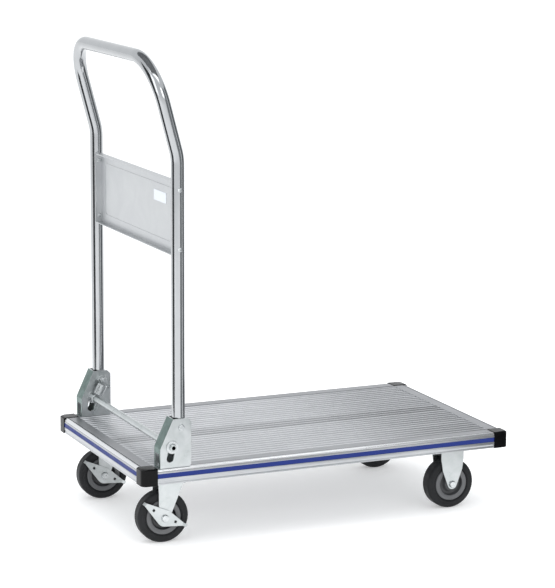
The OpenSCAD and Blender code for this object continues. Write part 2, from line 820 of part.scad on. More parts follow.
module lever_arm(tip) {
    hull() {
        circle(r = lever_boss_radius, $fn = 32);
        translate(tip) circle(r = lever_tip_radius, $fn = 32);
    }
}

module lever_tab_at(tip) {
    translate([tip[0], -lever_inner, tip[1]]) rotate([0, -atan2(tip[1], tip[0]), 0]) rotate([0, 0, -35])
        translate([0, -lever_sheet, -lever_tip_radius]) cube([lever_tab, lever_sheet * 0.8, 2 * lever_tip_radius]);
}

// outline of a fixed fork's leg, from the wheel's centre
module fixed_leg_outline() {
    top = caster_height - wheel_radius - plate_sheet;
    hull() {
        circle(r = boss_radius, $fn = 32);
        translate([-21.5, 29]) square([43, 1]);
        translate([-24.5, top - 26]) square([49, 1]);
    }
    translate([-24.5, top - 26]) square([49, 27]);
}

module fixed_fork(side) {
    color(zinc) at_fixed_wheel(side) difference() {
        union() {
            translate([0, 0, caster_height - wheel_radius - plate_sheet]) mounting_plate();
            for (turn = [0, 1]) mirror([0, turn, 0]) sheet_xz(fork_inner, fork_outer) fixed_leg_outline();
        }
        rod_y(axle_radius, 4 * fork_outer);
    }
}

module fixed_axles() {
    color(zinc) for (side = [-1, 1]) at_fixed_wheel(side) axle_bolt(fork_outer, fork_outer);
}

// ---------- wheels, each along Y about the origin ----------

module wheel_turn() {
    rotate([90, 0, 0]) rotate_extrude($fn = 96) children();
}

// solid tyre with a flat tread and rounded shoulders
module tyre() {
    half = tyre_width / 2;
    shoulder = 6;
    wheel_turn() difference() {
        union() {
            translate([tyre_bore, -half]) square([wheel_radius - shoulder - tyre_bore, tyre_width]);
            translate([wheel_radius - shoulder - 0.01, -half + shoulder]) square([shoulder + 0.01, tyre_width - 2 * shoulder]);
            for (z = [-1, 1]) translate([wheel_radius - shoulder, z * (half - shoulder)]) circle(r = shoulder, $fn = 32);
        }
        for (z = [-1, 1]) translate([tyre_bore + 2.2, z * (half + 0.4)]) circle(r = 1.2, $fn = 24);
    }
}

// hub: a rim ring, a thin web and a boss
module hub() {
    half = tyre_width / 2;
    rim = 6.5;
    wheel_turn() difference() {
        union() {
            translate([tyre_bore - rim, -half - 0.5]) square([rim, tyre_width + 1]);
            translate([bush_radius, -hub_web_half]) square([tyre_bore - rim - bush_radius + 0.01, 2 * hub_web_half]);
            translate([bush_radius, -hub_half]) square([hub_boss_radius - bush_radius, 2 * hub_half]);
        }
        for (z = [-1, 1]) translate([(hub_boss_radius + tyre_bore - rim) / 2, z * (hub_web_half + 0.6)]) circle(r = 1.6, $fn = 24);
    }
}

// bush between the hub and the axle
module bush() {
    wheel_turn() translate([axle_radius + running, -hub_half - 0.3])
        square([bush_radius - axle_radius - running, 2 * hub_half + 0.6]);
}

module hub_piece() {
    color(rim_grey) hub();
}

module tyre_piece() {
    color(rubber) tyre();
}

module bush_piece() {
    color([0.85, 0.85, 0.82]) bush();
}

// ---------- nodes ----------

deck_plank(0);  // deck_plank_near_outer
deck_plank(1);  // deck_plank_near_inner
deck_plank(2);  // deck_plank_centre
deck_plank(3);  // deck_plank_far_inner
deck_plank(4);  // deck_plank_far_outer
side_profile(-1);  // side_profile_near
side_profile(1);  // side_profile_far
end_profile(-1);  // end_profile_handle
end_profile(1);  // end_profile_front
side_strips();
end_strips();
placed_cap(-1, -1);  // corner_cap_handle_near
placed_cap(-1, 1);  // corner_cap_handle_far
placed_cap(1, -1);  // corner_cap_front_near
placed_cap(1, 1);  // corner_cap_front_far
cross_bearer(swivel_x);  // cross_bearer_handle
cross_bearer(fixed_x);  // cross_bearer_front
bearer_screws();
caster_bolts();
caster_nuts();
handle_bracket(-1);  // handle_bracket_near
handle_bracket(1);  // handle_bracket_far
bracket_screws();
handle_stops();
pivot_bolts();
pivot_nuts();
swivel_plate(-1);  // swivel_plate_near
swivel_plate(1);  // swivel_plate_far
kingpins();
swivel_balls();
fixed_fork(-1);  // fixed_fork_near
fixed_fork(1);  // fixed_fork_far
fixed_axles();
handle_tube();
handle_panel();
panel_label();
pivot_sleeves();
panel_rivets();
release_bar();
latch_plates();
bar_washers();
latch_springs();
swivel_fork(-1);  // swivel_fork_near
swivel_axle(-1);  // swivel_axle_near
brake_lever(-1);  // brake_lever_near
swivel_fork(1);  // swivel_fork_far
swivel_axle(1);  // swivel_axle_far
brake_lever(1);  // brake_lever_far
at_swivel_wheel(-1) hub_piece();  // swivel_hub_near
at_swivel_wheel(-1) tyre_piece();  // swivel_tyre_near
at_swivel_wheel(-1) bush_piece();  // swivel_bush_near
at_swivel_wheel(1) hub_piece();  // swivel_hub_far
at_swivel_wheel(1) tyre_piece();  // swivel_tyre_far
at_swivel_wheel(1) bush_piece();  // swivel_bush_far
at_fixed_wheel(-1) hub_piece();  // fixed_hub_near
at_fixed_wheel(-1) tyre_piece();  // fixed_tyre_near
at_fixed_wheel(-1) bush_piece();  // fixed_bush_near
at_fixed_wheel(1) hub_piece();  // fixed_hub_far
at_fixed_wheel(1) tyre_piece();  // fixed_tyre_far
at_fixed_wheel(1) bush_piece();  // fixed_bush_far
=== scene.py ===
"""Looks of a platform trolley with a folding handle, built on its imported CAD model."""
import json
import math

import bmesh
import bpy
from mathutils import Matrix, Vector

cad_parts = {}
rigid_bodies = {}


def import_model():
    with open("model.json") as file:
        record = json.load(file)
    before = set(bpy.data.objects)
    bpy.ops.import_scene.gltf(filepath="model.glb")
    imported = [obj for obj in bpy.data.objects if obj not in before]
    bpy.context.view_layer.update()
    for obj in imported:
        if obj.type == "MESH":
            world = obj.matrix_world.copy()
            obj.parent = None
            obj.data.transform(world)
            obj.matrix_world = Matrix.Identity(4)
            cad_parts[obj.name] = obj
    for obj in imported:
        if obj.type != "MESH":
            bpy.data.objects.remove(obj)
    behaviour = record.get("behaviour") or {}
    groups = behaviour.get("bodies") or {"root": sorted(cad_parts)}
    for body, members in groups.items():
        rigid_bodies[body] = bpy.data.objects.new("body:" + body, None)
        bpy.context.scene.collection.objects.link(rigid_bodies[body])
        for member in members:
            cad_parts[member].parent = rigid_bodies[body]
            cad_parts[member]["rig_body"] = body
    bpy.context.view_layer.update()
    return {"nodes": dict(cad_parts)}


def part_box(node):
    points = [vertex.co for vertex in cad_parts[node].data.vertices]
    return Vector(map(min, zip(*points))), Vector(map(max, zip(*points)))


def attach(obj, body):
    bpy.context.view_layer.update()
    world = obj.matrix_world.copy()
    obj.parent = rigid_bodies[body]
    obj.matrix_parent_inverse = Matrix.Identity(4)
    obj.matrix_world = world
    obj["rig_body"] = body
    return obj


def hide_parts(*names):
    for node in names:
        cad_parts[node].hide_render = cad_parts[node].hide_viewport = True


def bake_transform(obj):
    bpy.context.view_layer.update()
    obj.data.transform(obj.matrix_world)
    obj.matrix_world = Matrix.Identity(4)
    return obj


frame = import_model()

NODES = frame["nodes"]
MM = 0.001
SWIVEL_TURN = math.radians(-3)
HANDLE_LEAN = math.radians(15)
TUBE_RADIUS = 12.5 * MM
TUBE_WALL = 1.5 * MM
TUBE_MITRE = 11.5 / 25  # rise of the slanted lower ends for each unit along X
LEAN_RADIUS = 100 * MM
CORNER_RADIUS = 85 * MM
LEAN_HEIGHT = 738 * MM
HANDLE_HEIGHT = 930 * MM


# ---------- small tools ----------

def srgb(code, alpha=1.0):
    """An sRGB hex colour as the linear colour that Blender works in."""
    parts = [int(code[i:i + 2], 16) / 255 for i in (1, 3, 5)]
    return [c / 12.92 if c <= 0.04045 else ((c + 0.055) / 1.055) ** 2.4 for c in parts] + [alpha]


def add(tree, kind, inputs=None, **settings):
    """Adds a node: settings are its own properties, inputs are values or other nodes' outputs."""
    node = tree.nodes.new(kind)
    for key, value in settings.items():
        setattr(node, key, value)
    for key, value in (inputs or {}).items():
        if isinstance(value, bpy.types.NodeSocket):
            tree.links.new(value, node.inputs[key])
        else:
            node.inputs[key].default_value = value
    return node


def finish(name, **sockets):
    """A new material with the shader's uniform values set on its own sockets."""
    material = bpy.data.materials.new(name)
    material.use_nodes = True
    shader = material.node_tree.nodes["Principled BSDF"]
    for key, value in sockets.items():
        shader.inputs[key.replace("_", " ")].default_value = value
    return material, material.node_tree, shader


def link_surface(tree, shader, colour=None, roughness=None, normal=None):
    """Joins the patterns of a finish to its shader."""
    for socket, output in (("Base Color", colour), ("Roughness", roughness), ("Normal", normal)):
        if output is not None:
            tree.links.new(output, shader.inputs[socket])


# ---------- finishes ----------

def extruded_aluminium(name, light, dark, smooth, rough, along, patches=0.25):
    """Extruded aluminium: hair-fine lines along its length in a soft grey shine."""
    material, tree, shader = finish(name, Metallic=1.0)
    place = add(tree, "ShaderNodeTexCoord")
    fine = [1 / (0.7 * MM)] * 3
    fine[along] = 1 / (90 * MM)
    lines = add(tree, "ShaderNodeMapping", {"Vector": place.outputs["Object"], "Scale": fine})
    streaks = add(tree, "ShaderNodeTexNoise", {"Vector": lines.outputs[0], "Scale": 1.0, "Detail": 3.0})
    clouds = add(tree, "ShaderNodeTexNoise",
        {"Vector": place.outputs["Object"], "Scale": 1 / (45 * MM), "Detail": 4.0})
    uneven = add(tree, "ShaderNodeMix", {0: patches, 2: streaks.outputs[0], 3: clouds.outputs[0]},
        data_type="FLOAT")
    spread = add(tree, "ShaderNodeMapRange", {"Value": uneven.outputs[0], "From Min": 0.3, "From Max": 0.7})
    colour = add(tree, "ShaderNodeMix", {0: spread.outputs[0], 6: srgb(dark), 7: srgb(light)},
        data_type="RGBA")
    gloss = add(tree, "ShaderNodeMapRange", {"Value": spread.outputs[0], "To Min": rough, "To Max": smooth})
    relief = add(tree, "ShaderNodeBump",
        {"Height": streaks.outputs[0], "Strength": 0.25, "Distance": 0.03 * MM})
    link_surface(tree, shader, colour.outputs[2], gloss.outputs[0], relief.outputs[0])
    return material


def zinc_plated_steel(name, light, dark, smooth, rough, cloud=14):
    """Zinc-plated pressed steel: faintly cloudy, with fine scuffs."""
    material, tree, shader = finish(name, Metallic=1.0)
    place = add(tree, "ShaderNodeTexCoord")
    clouds = add(tree, "ShaderNodeTexNoise",
        {"Vector": place.outputs["Object"], "Scale": 1 / (cloud * MM), "Detail": 5.0, "Distortion": 0.6})
    turned = add(tree, "ShaderNodeMapping",
        {"Vector": place.outputs["Object"], "Rotation": (0.4, 0.9, 0.6),
        "Scale": (1 / (0.5 * MM), 1 / (14 * MM), 1 / (0.5 * MM))})
    scuffs = add(tree, "ShaderNodeTexNoise", {"Vector": turned.outputs[0], "Scale": 1.0, "Detail": 2.0})
    spread = add(tree, "ShaderNodeMapRange",
        {"Value": clouds.outputs[0], "From Min": 0.35, "From Max": 0.68})
    colour = add(tree, "ShaderNodeMix", {0: spread.outputs[0], 6: srgb(dark), 7: srgb(light)},
        data_type="RGBA")
    both = add(tree, "ShaderNodeMix", {0: 0.4, 2: spread.outputs[0], 3: scuffs.outputs[0]},
        data_type="FLOAT")
    gloss = add(tree, "ShaderNodeMapRange",
        {"Value": both.outputs[0], "From Min": 0.2, "From Max": 0.8, "To Min": smooth, "To Max": rough})
    relief = add(tree, "ShaderNodeBump",
        {"Height": both.outputs[0], "Strength": 0.2, "Distance": 0.04 * MM})
    link_surface(tree, shader, colour.outputs[2], gloss.outputs[0], relief.outputs[0])
    return material


def chrome_plate():
    """Polished chrome on tube: mirror bright, with a faint ripple under the plating."""
    material, tree, shader = finish("bright_chrome_plate", Metallic=1.0)
    place = add(tree, "ShaderNodeTexCoord")
    ripple = add(tree, "ShaderNodeTexNoise",
        {"Vector": place.outputs["Object"], "Scale": 1 / (9 * MM), "Detail": 1.0})
    haze = add(tree, "ShaderNodeTexNoise",
        {"Vector": place.outputs["Object"], "Scale": 1 / (30 * MM), "Detail": 5.0})
    colour = add(tree, "ShaderNodeMix", {0: haze.outputs[0], 6: srgb("#A9ABAD"), 7: srgb("#B8BABC")},
        data_type="RGBA")
    gloss = add(tree, "ShaderNodeMapRange", {"Value": haze.outputs[0], "To Min": 0.06, "To Max": 0.16})
    relief = add(tree, "ShaderNodeBump",
        {"Height": ripple.outputs[0], "Strength": 0.06, "Distance": 0.03 * MM})
    link_surface(tree, shader, colour.outputs[2], gloss.outputs[0], relief.outputs[0])
    return material


def grained_surface(name, light, dark, smooth, rough, grain, ior=1.49, shine=0.5):
    """The plastics and the groove's painted shade: a fine surface grain and a slightly uneven sheen."""
    material, tree, shader = finish(name, IOR=ior, Specular_IOR_Level=shine)
    place = add(tree, "ShaderNodeTexCoord")
    pits = add(tree, "ShaderNodeTexNoise",
        {"Vector": place.outputs["Object"], "Scale": 1 / (grain * MM), "Detail": 2.0})
    clouds = add(tree, "ShaderNodeTexNoise",
        {"Vector": place.outputs["Object"], "Scale": 1 / (22 * MM), "Detail": 4.0})
    colour = add(tree, "ShaderNodeMix", {0: clouds.outputs[0], 6: srgb(dark), 7: srgb(light)},
        data_type="RGBA")
    gloss = add(tree, "ShaderNodeMapRange",
        {"Value": clouds.outputs[0], "From Min": 0.3, "From Max": 0.7, "To Min": smooth, "To Max": rough})
    relief = add(tree, "ShaderNodeBump",
        {"Height": pits.outputs[0], "Strength": 0.35, "Distance": 0.08 * MM})
    link_surface(tree, shader, colour.outputs[2], gloss.outputs[0], relief.outputs[0])
    return material


def tyre_rubber():
    """Dark grey solid rubber: dull, slightly mottled, with a fine moulded skin."""
    material, tree, shader = finish("dark_grey_solid_rubber", IOR=1.52, Specular_IOR_Level=0.25)
    place = add(tree, "ShaderNodeTexCoord")
    mottle = add(tree, "ShaderNodeTexNoise",
        {"Vector": place.outputs["Object"], "Scale": 1 / (18 * MM), "Detail": 6.0, "Roughness": 0.6})
    skin = add(tree, "ShaderNodeTexNoise",
        {"Vector": place.outputs["Object"], "Scale": 1 / (1.2 * MM), "Detail": 2.0})
    spread = add(tree, "ShaderNodeMapRange", {"Value": mottle.outputs[0], "From Min": 0.4, "From Max": 0.75})
    colour = add(tree, "ShaderNodeMix", {0: spread.outputs[0], 6: srgb("#17181A"), 7: srgb("#232426")},
        data_type="RGBA")
    gloss = add(tree, "ShaderNodeMapRange", {"Value": spread.outputs[0], "To Min": 0.5, "To Max": 0.72})
    relief = add(tree, "ShaderNodeBump", {"Height": skin.outputs[0], "Strength": 0.3, "Distance": 0.1 * MM})
    link_surface(tree, shader, colour.outputs[2], gloss.outputs[0], relief.outputs[0])
    return material


def label_vinyl():
    """White vinyl sticker: smooth film with a soft gloss and no print."""
    material, tree, shader = finish("white_vinyl_film", IOR=1.53, Coat_Weight=0.3, Coat_Roughness=0.15)
    place = add(tree, "ShaderNodeTexCoord")
    film = add(tree, "ShaderNodeTexNoise",
        {"Vector": place.outputs["Object"], "Scale": 1 / (12 * MM), "Detail": 3.0})
    colour = add(tree, "ShaderNodeMix", {0: film.outputs[0], 6: srgb("#CDD3DA"), 7: srgb("#DDE2E7")},
        data_type="RGBA")
    gloss = add(tree, "ShaderNodeMapRange", {"Value": film.outputs[0], "To Min": 0.3, "To Max": 0.42})
    link_surface(tree, shader, colour.outputs[2], gloss.outputs[0])
    return material


FINISH = {
    "plank_aluminium": extruded_aluminium("mill_finish_aluminium_planks", "#C2C3C6", "#B0B1B4", 0.3, 0.42, 0),
    # lighter copy of the plank aluminium: painted highlight on the planks' tops and the profiles' rounded
    # edges
    "painted_highlight": extruded_aluminium("highlight_painted_on_aluminium", "#EBECED", "#DFE0E2", 0.24, 0.36, 0),
    # darker copy: painted shade on the profiles' upper flutes
    "dull_aluminium": extruded_aluminium("shade_painted_on_aluminium_flutes", "#949597", "#828385", 0.3, 0.44, 0),
    # darker copy: painted grey reflection on the centre plank and the profiles' flat tops
    "painted_grey_reflection": extruded_aluminium("reflection_painted_on_aluminium", "#A9AAAD", "#97989B", 0.32, 0.44, 0),
    "side_aluminium": extruded_aluminium("anodised_aluminium_sides", "#C3C5C7", "#B2B4B7", 0.26, 0.4, 0),
    "end_aluminium": extruded_aluminium("anodised_aluminium_ends", "#C3C5C7", "#B2B4B7", 0.26, 0.4, 1),
    "zinc_steel": zinc_plated_steel("blue_zinc_plated_steel", "#CDD0D1", "#BBC0C0", 0.27, 0.38, 26),
    # painted shade in the profiles' groove
    "painted_shade_groove": grained_surface("shade_painted_in_groove", "#2E2F31", "#1F2022", 0.6, 0.8, 1.5, 1.5, 0.2),
    # darker, greener copy of the zinc: painted shade on the brackets' rear webs
    "painted_shade_webs": zinc_plated_steel("shade_painted_on_zinc_webs", "#7C8E8A", "#586A66", 0.3, 0.42, 16),
    "bright_steel": zinc_plated_steel("bright_zinc_fasteners", "#D6D9DA", "#BFC3C4", 0.22, 0.34, 8),
    "panel_steel": zinc_plated_steel("zinc_coated_sheet_panel", "#CDCFD0", "#C1C3C5", 0.34, 0.46, 60),
    "handle_chrome": chrome_plate(),
    "strip_pvc": grained_surface("blue_extruded_pvc_strip", "#1C3079", "#16286B", 0.42, 0.55, 0.6,
        1.53, 0.22),
    "cap_plastic": grained_surface("black_moulded_polypropylene", "#0A0A0B", "#050506", 0.18, 0.28, 0.8,
        1.49, 0.14),
    "hub_plastic": grained_surface("grey_moulded_nylon_hub", "#626365", "#545557", 0.36, 0.5, 1.0, 1.53),
    # darker copy of the hub's grey: painted shade in the hub's dish
    "painted_shade_dish": grained_surface("shade_painted_on_nylon_dish", "#4A4B4D", "#3A3B3D", 0.4, 0.55, 1.0, 1.53),
    "bush_plastic": grained_surface("natural_acetal_bush", "#DCDAD0", "#CFCDC2", 0.32, 0.45, 0.8, 1.48),
    "tyre_rubber": tyre_rubber(),
    "label_vinyl": label_vinyl(),
}


# ---------- pieces ----------

def new_piece(name, mesh, body, slot, *stands_for):
    """Puts a finished mesh in the scene as a piece of the object."""
    piece = bpy.data.objects.new(name, mesh)
    bpy.context.scene.collection.objects.link(piece)
    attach(piece, body)
    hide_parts(*stands_for)
    return piece


def merged(node):
    """A bmesh copy of a CAD node with its loose triangles joined into flat faces."""
    shape = bmesh.new()
    shape.from_mesh(NODES[node].data)
    bmesh.ops.remove_doubles(shape, verts=shape.verts, dist=0.01 * MM)
    bmesh.ops.dissolve_limit(shape, angle_limit=math.radians(0.5), verts=shape.verts, edges=shape.edges)
    return shape


def mesh_from(shape, name, *finishes, crease=35):
    """Turns a bmesh into a mesh with its finishes, smooth except across its creases."""
    mesh = bpy.data.meshes.new(name)
    for face in shape.faces:
        face.smooth = True
    shape.to_mesh(mesh)
    shape.free()
    for key in finishes:
        mesh.materials.append(FINISH[key])
    mesh.set_sharp_from_angle(angle=math.radians(crease))
    return mesh


def softened(node, edge, finish_key, slot):
    """A CAD node's shape with its sharp edges broken by a small bevel."""
    body = NODES[node]["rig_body"]
    piece = new_piece(node + "_finished", mesh_from(merged(node), node, finish_key), body, slot, node)
    rounding = piece.modifiers.new("broken edges", "BEVEL")
    rounding.width = edge * MM
    rounding.segments = 2
    rounding.limit_method = "ANGLE"
    rounding.angle_limit = math.radians(32)
    rounding.harden_normals = True
    rounding.use_clamp_overlap = True
    return piece


for plain_node in NODES.values():
    plain_node.data.materials.clear()
    plain_node.data.materials.append(FINISH["zinc_steel"])

# for each CAD node that keeps its shape: its bevel in mm, its finish and its material slot
EDGES = {
    "deck_plank_near_outer": (0.3, "plank_aluminium", "plank_aluminium"),
    "deck_plank_near_inner": (0.3, "plank_aluminium", "plank_aluminium"),
    # the centre plank is painted a darker grey: painted reflection
    "deck_plank_centre": (0.3, "painted_grey_reflection", "plank_aluminium"),
    "deck_plank_far_inner": (0.3, "plank_aluminium", "plank_aluminium"),
    "deck_plank_far_outer": (0.3, "plank_aluminium", "plank_aluminium"),
    "side_profile_near": (0.25, "side_aluminium", "profile_aluminium"),
    "side_profile_far": (0.25, "side_aluminium", "profile_aluminium"),
    "end_profile_handle": (0.25, "end_aluminium", "profile_aluminium"),
    "end_profile_front": (0.25, "end_aluminium", "profile_aluminium"),
    "side_strips": (0.5, "strip_pvc", "strip_pvc"),
    "end_strips": (0.5, "strip_pvc", "strip_pvc"),
    "corner_cap_handle_near": (2.2, "cap_plastic", "cap_plastic"),
    "corner_cap_handle_far": (2.2, "cap_plastic", "cap_plastic"),
    "corner_cap_front_near": (2.2, "cap_plastic", "cap_plastic"),
    "corner_cap_front_far": (2.2, "cap_plastic", "cap_plastic"),
    "cross_bearer_handle": (0.8, "zinc_steel", "zinc_steel"),
    "cross_bearer_front": (0.8, "zinc_steel", "zinc_steel"),
    "handle_bracket_near": (0.8, "zinc_steel", "zinc_steel"),
    "handle_bracket_far": (0.8, "zinc_steel", "zinc_steel"),
    "handle_stops": (0.6, "zinc_steel", "zinc_steel"),
    "swivel_plate_near": (0.6, "zinc_steel", "zinc_steel"),
    "swivel_plate_far": (0.6, "zinc_steel", "zinc_steel"),
    "fixed_fork_near": (0.7, "zinc_steel", "zinc_steel"),
    "fixed_fork_far": (0.7, "zinc_steel", "zinc_steel"),
    "swivel_fork_near": (0.7, "zinc_steel", "zinc_steel"),
    "swivel_fork_far": (0.7, "zinc_steel", "zinc_steel"),
    "brake_lever_near": (0.5, "zinc_steel", "zinc_steel"),
    "brake_lever_far": (0.5, "zinc_steel", "zinc_steel"),
    "handle_panel": (0.5, "panel_steel", "panel_steel"),
    "panel_label": (0.1, "label_vinyl", "label_vinyl"),
    "panel_rivets": (0.3, "bright_steel", "zinc_steel"),
    "pivot_sleeves": (0.3, "bright_steel", "bright_steel"),
    "release_bar": (0.5, "zinc_steel", "zinc_steel"),
    "latch_plates": (0.4, "zinc_steel", "zinc_steel"),
    "bar_washers": (0.4, "bright_steel", "bright_steel"),
    "pivot_bolts": (0.6, "bright_steel", "bright_steel"),
    "pivot_nuts": (0.6, "bright_steel", "bright_steel"),
    "bracket_screws": (0.5, "bright_steel", "bright_steel"),
    "swivel_axle_near": (0.6, "bright_steel", "bright_steel"),
    "swivel_axle_far": (0.6, "bright_steel", "bright_steel"),
    "fixed_axles": (0.6, "bright_steel", "bright_steel"),
    "kingpins": (0.5, "bright_steel", "bright_steel"),
}
for node, (edge, finish_key, slot) in EDGES.items():
    softened(node, edge, finish_key, slot)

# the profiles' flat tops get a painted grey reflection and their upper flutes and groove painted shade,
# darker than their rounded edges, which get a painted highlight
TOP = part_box("side_profile_near")[1].z
STRIP_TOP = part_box("side_strips")[1].z
PROFILE_FACES = ("painted_grey_reflection", "painted_shade_groove", "dull_aluminium", "painted_highlight")
FLAT_TOP, GROOVE, UPPER_FLUTE, ROUNDING = 1, 2, 3, 4
LEVEL = 0.05  # faces no further than this from the top belong to it, in mm
GROOVE_DEPTH = 1.3
ROUNDING_DEPTH = 6
FLUTE_ABOVE_STRIP = 2.8 * MM
for node in ("side_profile_near", "side_profile_far", "end_profile_handle", "end_profile_front"):
    mesh = bpy.data.objects[node + "_finished"].data
    for key in PROFILE_FACES:
        mesh.materials.append(FINISH[key])
    for face in mesh.polygons:
        depth = (TOP - face.center.z) / MM
        if depth < LEVEL and face.normal.z > 0.999:
            face.material_index = FLAT_TOP
        # faces in the groove: painted shade
        elif depth < GROOVE_DEPTH and (face.normal.z > 0.9999 or abs(face.normal.z) < 0.01):
            face.material_index = GROOVE
        # faces of the upper flutes: painted shade
        elif face.center.z > STRIP_TOP + FLUTE_ABOVE_STRIP and face.normal.z < 0.01:
            face.material_index = UPPER_FLUTE
        elif depth < ROUNDING_DEPTH and 0.05 < face.normal.z < 0.99:
            face.material_index = ROUNDING
# the planks' top faces get the lighter aluminium: painted highlight
for node in EDGES:
    if node.startswith("deck_plank"):
        mesh = bpy.data.objects[node + "_finished"].data
        mesh.materials.append(FINISH["painted_highlight"])
        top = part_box(node)[1].z
        for face in mesh.polygons:
            if top - face.center.z < LEVEL * MM:
                face.material_index = 1

# the brackets' rear webs, their faces towards -X, are painted darker and greener than their cheeks: painted
# shade
for side in ("near", "far"):
    mesh = bpy.data.objects[f"handle_bracket_{side}_finished"].data
    mesh.materials.append(FINISH["painted_shade_webs"])
    for face in mesh.polygons:
        if face.normal.x < -0.5:
            face.material_index = 1


def centre(node):
    """The middle of a CAD node's box."""
    low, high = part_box(node)
    return (low + high) / 2


def islands(node):
    """The box of each separate solid in a CAD node."""
    shape = merged(node)
    left, boxes = set(shape.verts), []
    while left:
        found, front = set(), [left.pop()]
        while front:
            vert = front.pop()
            found.add(vert)
            for edge in vert.link_edges:
                other = edge.other_vert(vert)
                if other in left:
                    left.discard(other)
                    front.append(other)
        axes = [[v.co[i] for v in found] for i in range(3)]
        boxes.append((Vector([min(a) for a in axes]), Vector([max(a) for a in axes])))
    shape.free()
    return sorted(boxes, key=lambda b: tuple(b[0]))


# ---------- handle tube ----------

def handle_path(pivot, low, offset):
    """Points along the tube's centreline, from one lower end round the grip to the other, in metres."""
    eased = LEAN_RADIUS * math.tan(HANDLE_LEAN / 2)
    start = LEAN_HEIGHT - eased
    slanted = (HANDLE_HEIGHT - TUBE_RADIUS - LEAN_HEIGHT) / math.cos(HANDLE_LEAN)
    length = slanted - eased - CORNER_RADIUS
    points = [Vector((pivot.x, -offset, low)), Vector((pivot.x, -offset, low + 20 * MM))]
    points += [Vector((pivot.x, -offset, low + (start - low) * i / 6)) for i in range(1, 7)]
    for i in range(1, 13):
        turn = HANDLE_LEAN * i / 12
        back = LEAN_RADIUS * (1 - math.cos(turn))
        points.append(Vector((pivot.x - back, -offset, start + LEAN_RADIUS * math.sin(turn))))
    root = points[-1].copy()
    rise = Vector((-math.sin(HANDLE_LEAN), 0, math.cos(HANDLE_LEAN)))
    points += [root + rise * length * i / 4 for i in range(1, 5)]
    for i in range(1, 25):
        turn = math.radians(90) * i / 24
        inward = Vector((0, CORNER_RADIUS * (1 - math.cos(turn)), 0))
        points.append(root + rise * (length + CORNER_RADIUS * math.sin(turn)) + inward)
    far = [Vector((p.x, -p.y, p.z)) for p in reversed(points)]
    return points + far


def bent_tube():
    """The handle: one tube swept along its bends, its wall open at both slanted lower ends."""
    pivot = centre("pivot_sleeves")
    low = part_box("handle_tube")[0].z
    offset = -(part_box("handle_tube")[0].y + TUBE_RADIUS)
    path = handle_path(pivot, low, offset)
    sides = 56
    shape = bmesh.new()
    rings = []
    for i, point in enumerate(path):
        ahead = (path[min(i + 1, len(path) - 1)] - path[max(i - 1, 0)]).normalized()
        out = Vector((math.cos(HANDLE_LEAN), 0, math.sin(HANDLE_LEAN)))
        out = (out - ahead * out.dot(ahead)).normalized()
        across = ahead.cross(out)
        pair = []
        for radius in (TUBE_RADIUS, TUBE_RADIUS - TUBE_WALL):
            ring = []
            for k in range(sides):
                turn = 2 * math.pi * k / sides
                spot = point + (out * math.cos(turn) + across * math.sin(turn)) * radius
                if i in (0, len(path) - 1):
                    spot.z += (TUBE_RADIUS - (spot.x - pivot.x)) * TUBE_MITRE
                ring.append(shape.verts.new(spot))
            pair.append(ring)
        rings.append(pair)
    for a, b in zip(rings, rings[1:]):
        for k in range(sides):
            j = (k + 1) % sides
            shape.faces.new((a[0][k], a[0][j], b[0][j], b[0][k]))
            shape.faces.new((a[1][j], a[1][k], b[1][k], b[1][j]))
    for end in (rings[0], rings[-1]):
        for k in range(sides):
            j = (k + 1) % sides
            shape.faces.new((end[0][k], end[1][k], end[1][j], end[0][j]))
    bmesh.ops.recalc_face_normals(shape, faces=shape.faces)
    new_piece("handle_bent_tube", mesh_from(shape, "handle_bent_tube", "handle_chrome"), "handle",
        "handle_chrome", "handle_tube")


# ---------- wheels ----------

def turned(shape, profile, place, segments=96):
    """Adds a closed ring turned about the axle: profile is (radius, distance along the axle) in mm."""
    rings = []
    for k in range(segments):
        turn = 2 * math.pi * k / segments
        spots = [Vector((r * MM * math.cos(turn), y * MM, r * MM * math.sin(turn))) for r, y in profile]
        rings.append([shape.verts.new(place @ spot) for spot in spots])
    for k in range(segments):
        a, b = rings[k], rings[(k + 1) % segments]
        for i in range(len(profile)):
            j = (i + 1) % len(profile)
            shape.faces.new((a[i], a[j], b[j], b[i]))


def mirrored(half):
    """A profile's other half, so that a ring has the same face on both sides."""
    return half + [(r, -y) for r, y in reversed(half)]


def tyre_profile():
    """Solid tyre: nearly flat tread, round shoulders, and a shallow groove and step on each side."""
    side = [(34.0, 13.4), (35.2, 14.4), (35.8, 14.0), (36.6, 14.0), (37.2, 15.0), (41.0, 15.0),
        (41.6, 14.6)]
    turns = [math.radians(a) for a in range(8, 91, 10)]
    shoulder = [(44 + 6 * math.sin(a), 8.6 + 6 * math.cos(a)) for a in turns]
    return mirrored(side + shoulder + [(50.0, 3.0), (49.85, 0.4)])


def hub_profile():
    """Moulded hub: a boss round the bush, a dished web, and a flat rim ring."""
    boss = [(8.2, 16.6), (13.0, 17.0), (14.0, 16.0), (14.6, 9.0)]
    dish = [(16.5, 7.0), (19.5, 6.2), (22.4, 7.0), (24.0, 9.5)]
    rim = [(24.4, 14.6), (25.4, 15.4), (32.8, 15.4), (33.6, 14.6), (33.9, 13.0)]
    return mirrored(boss + dish + rim)


# the hub is painted darker inside this radius: painted shade
PAINTED_SHADE_RADIUS = 24.3 * MM


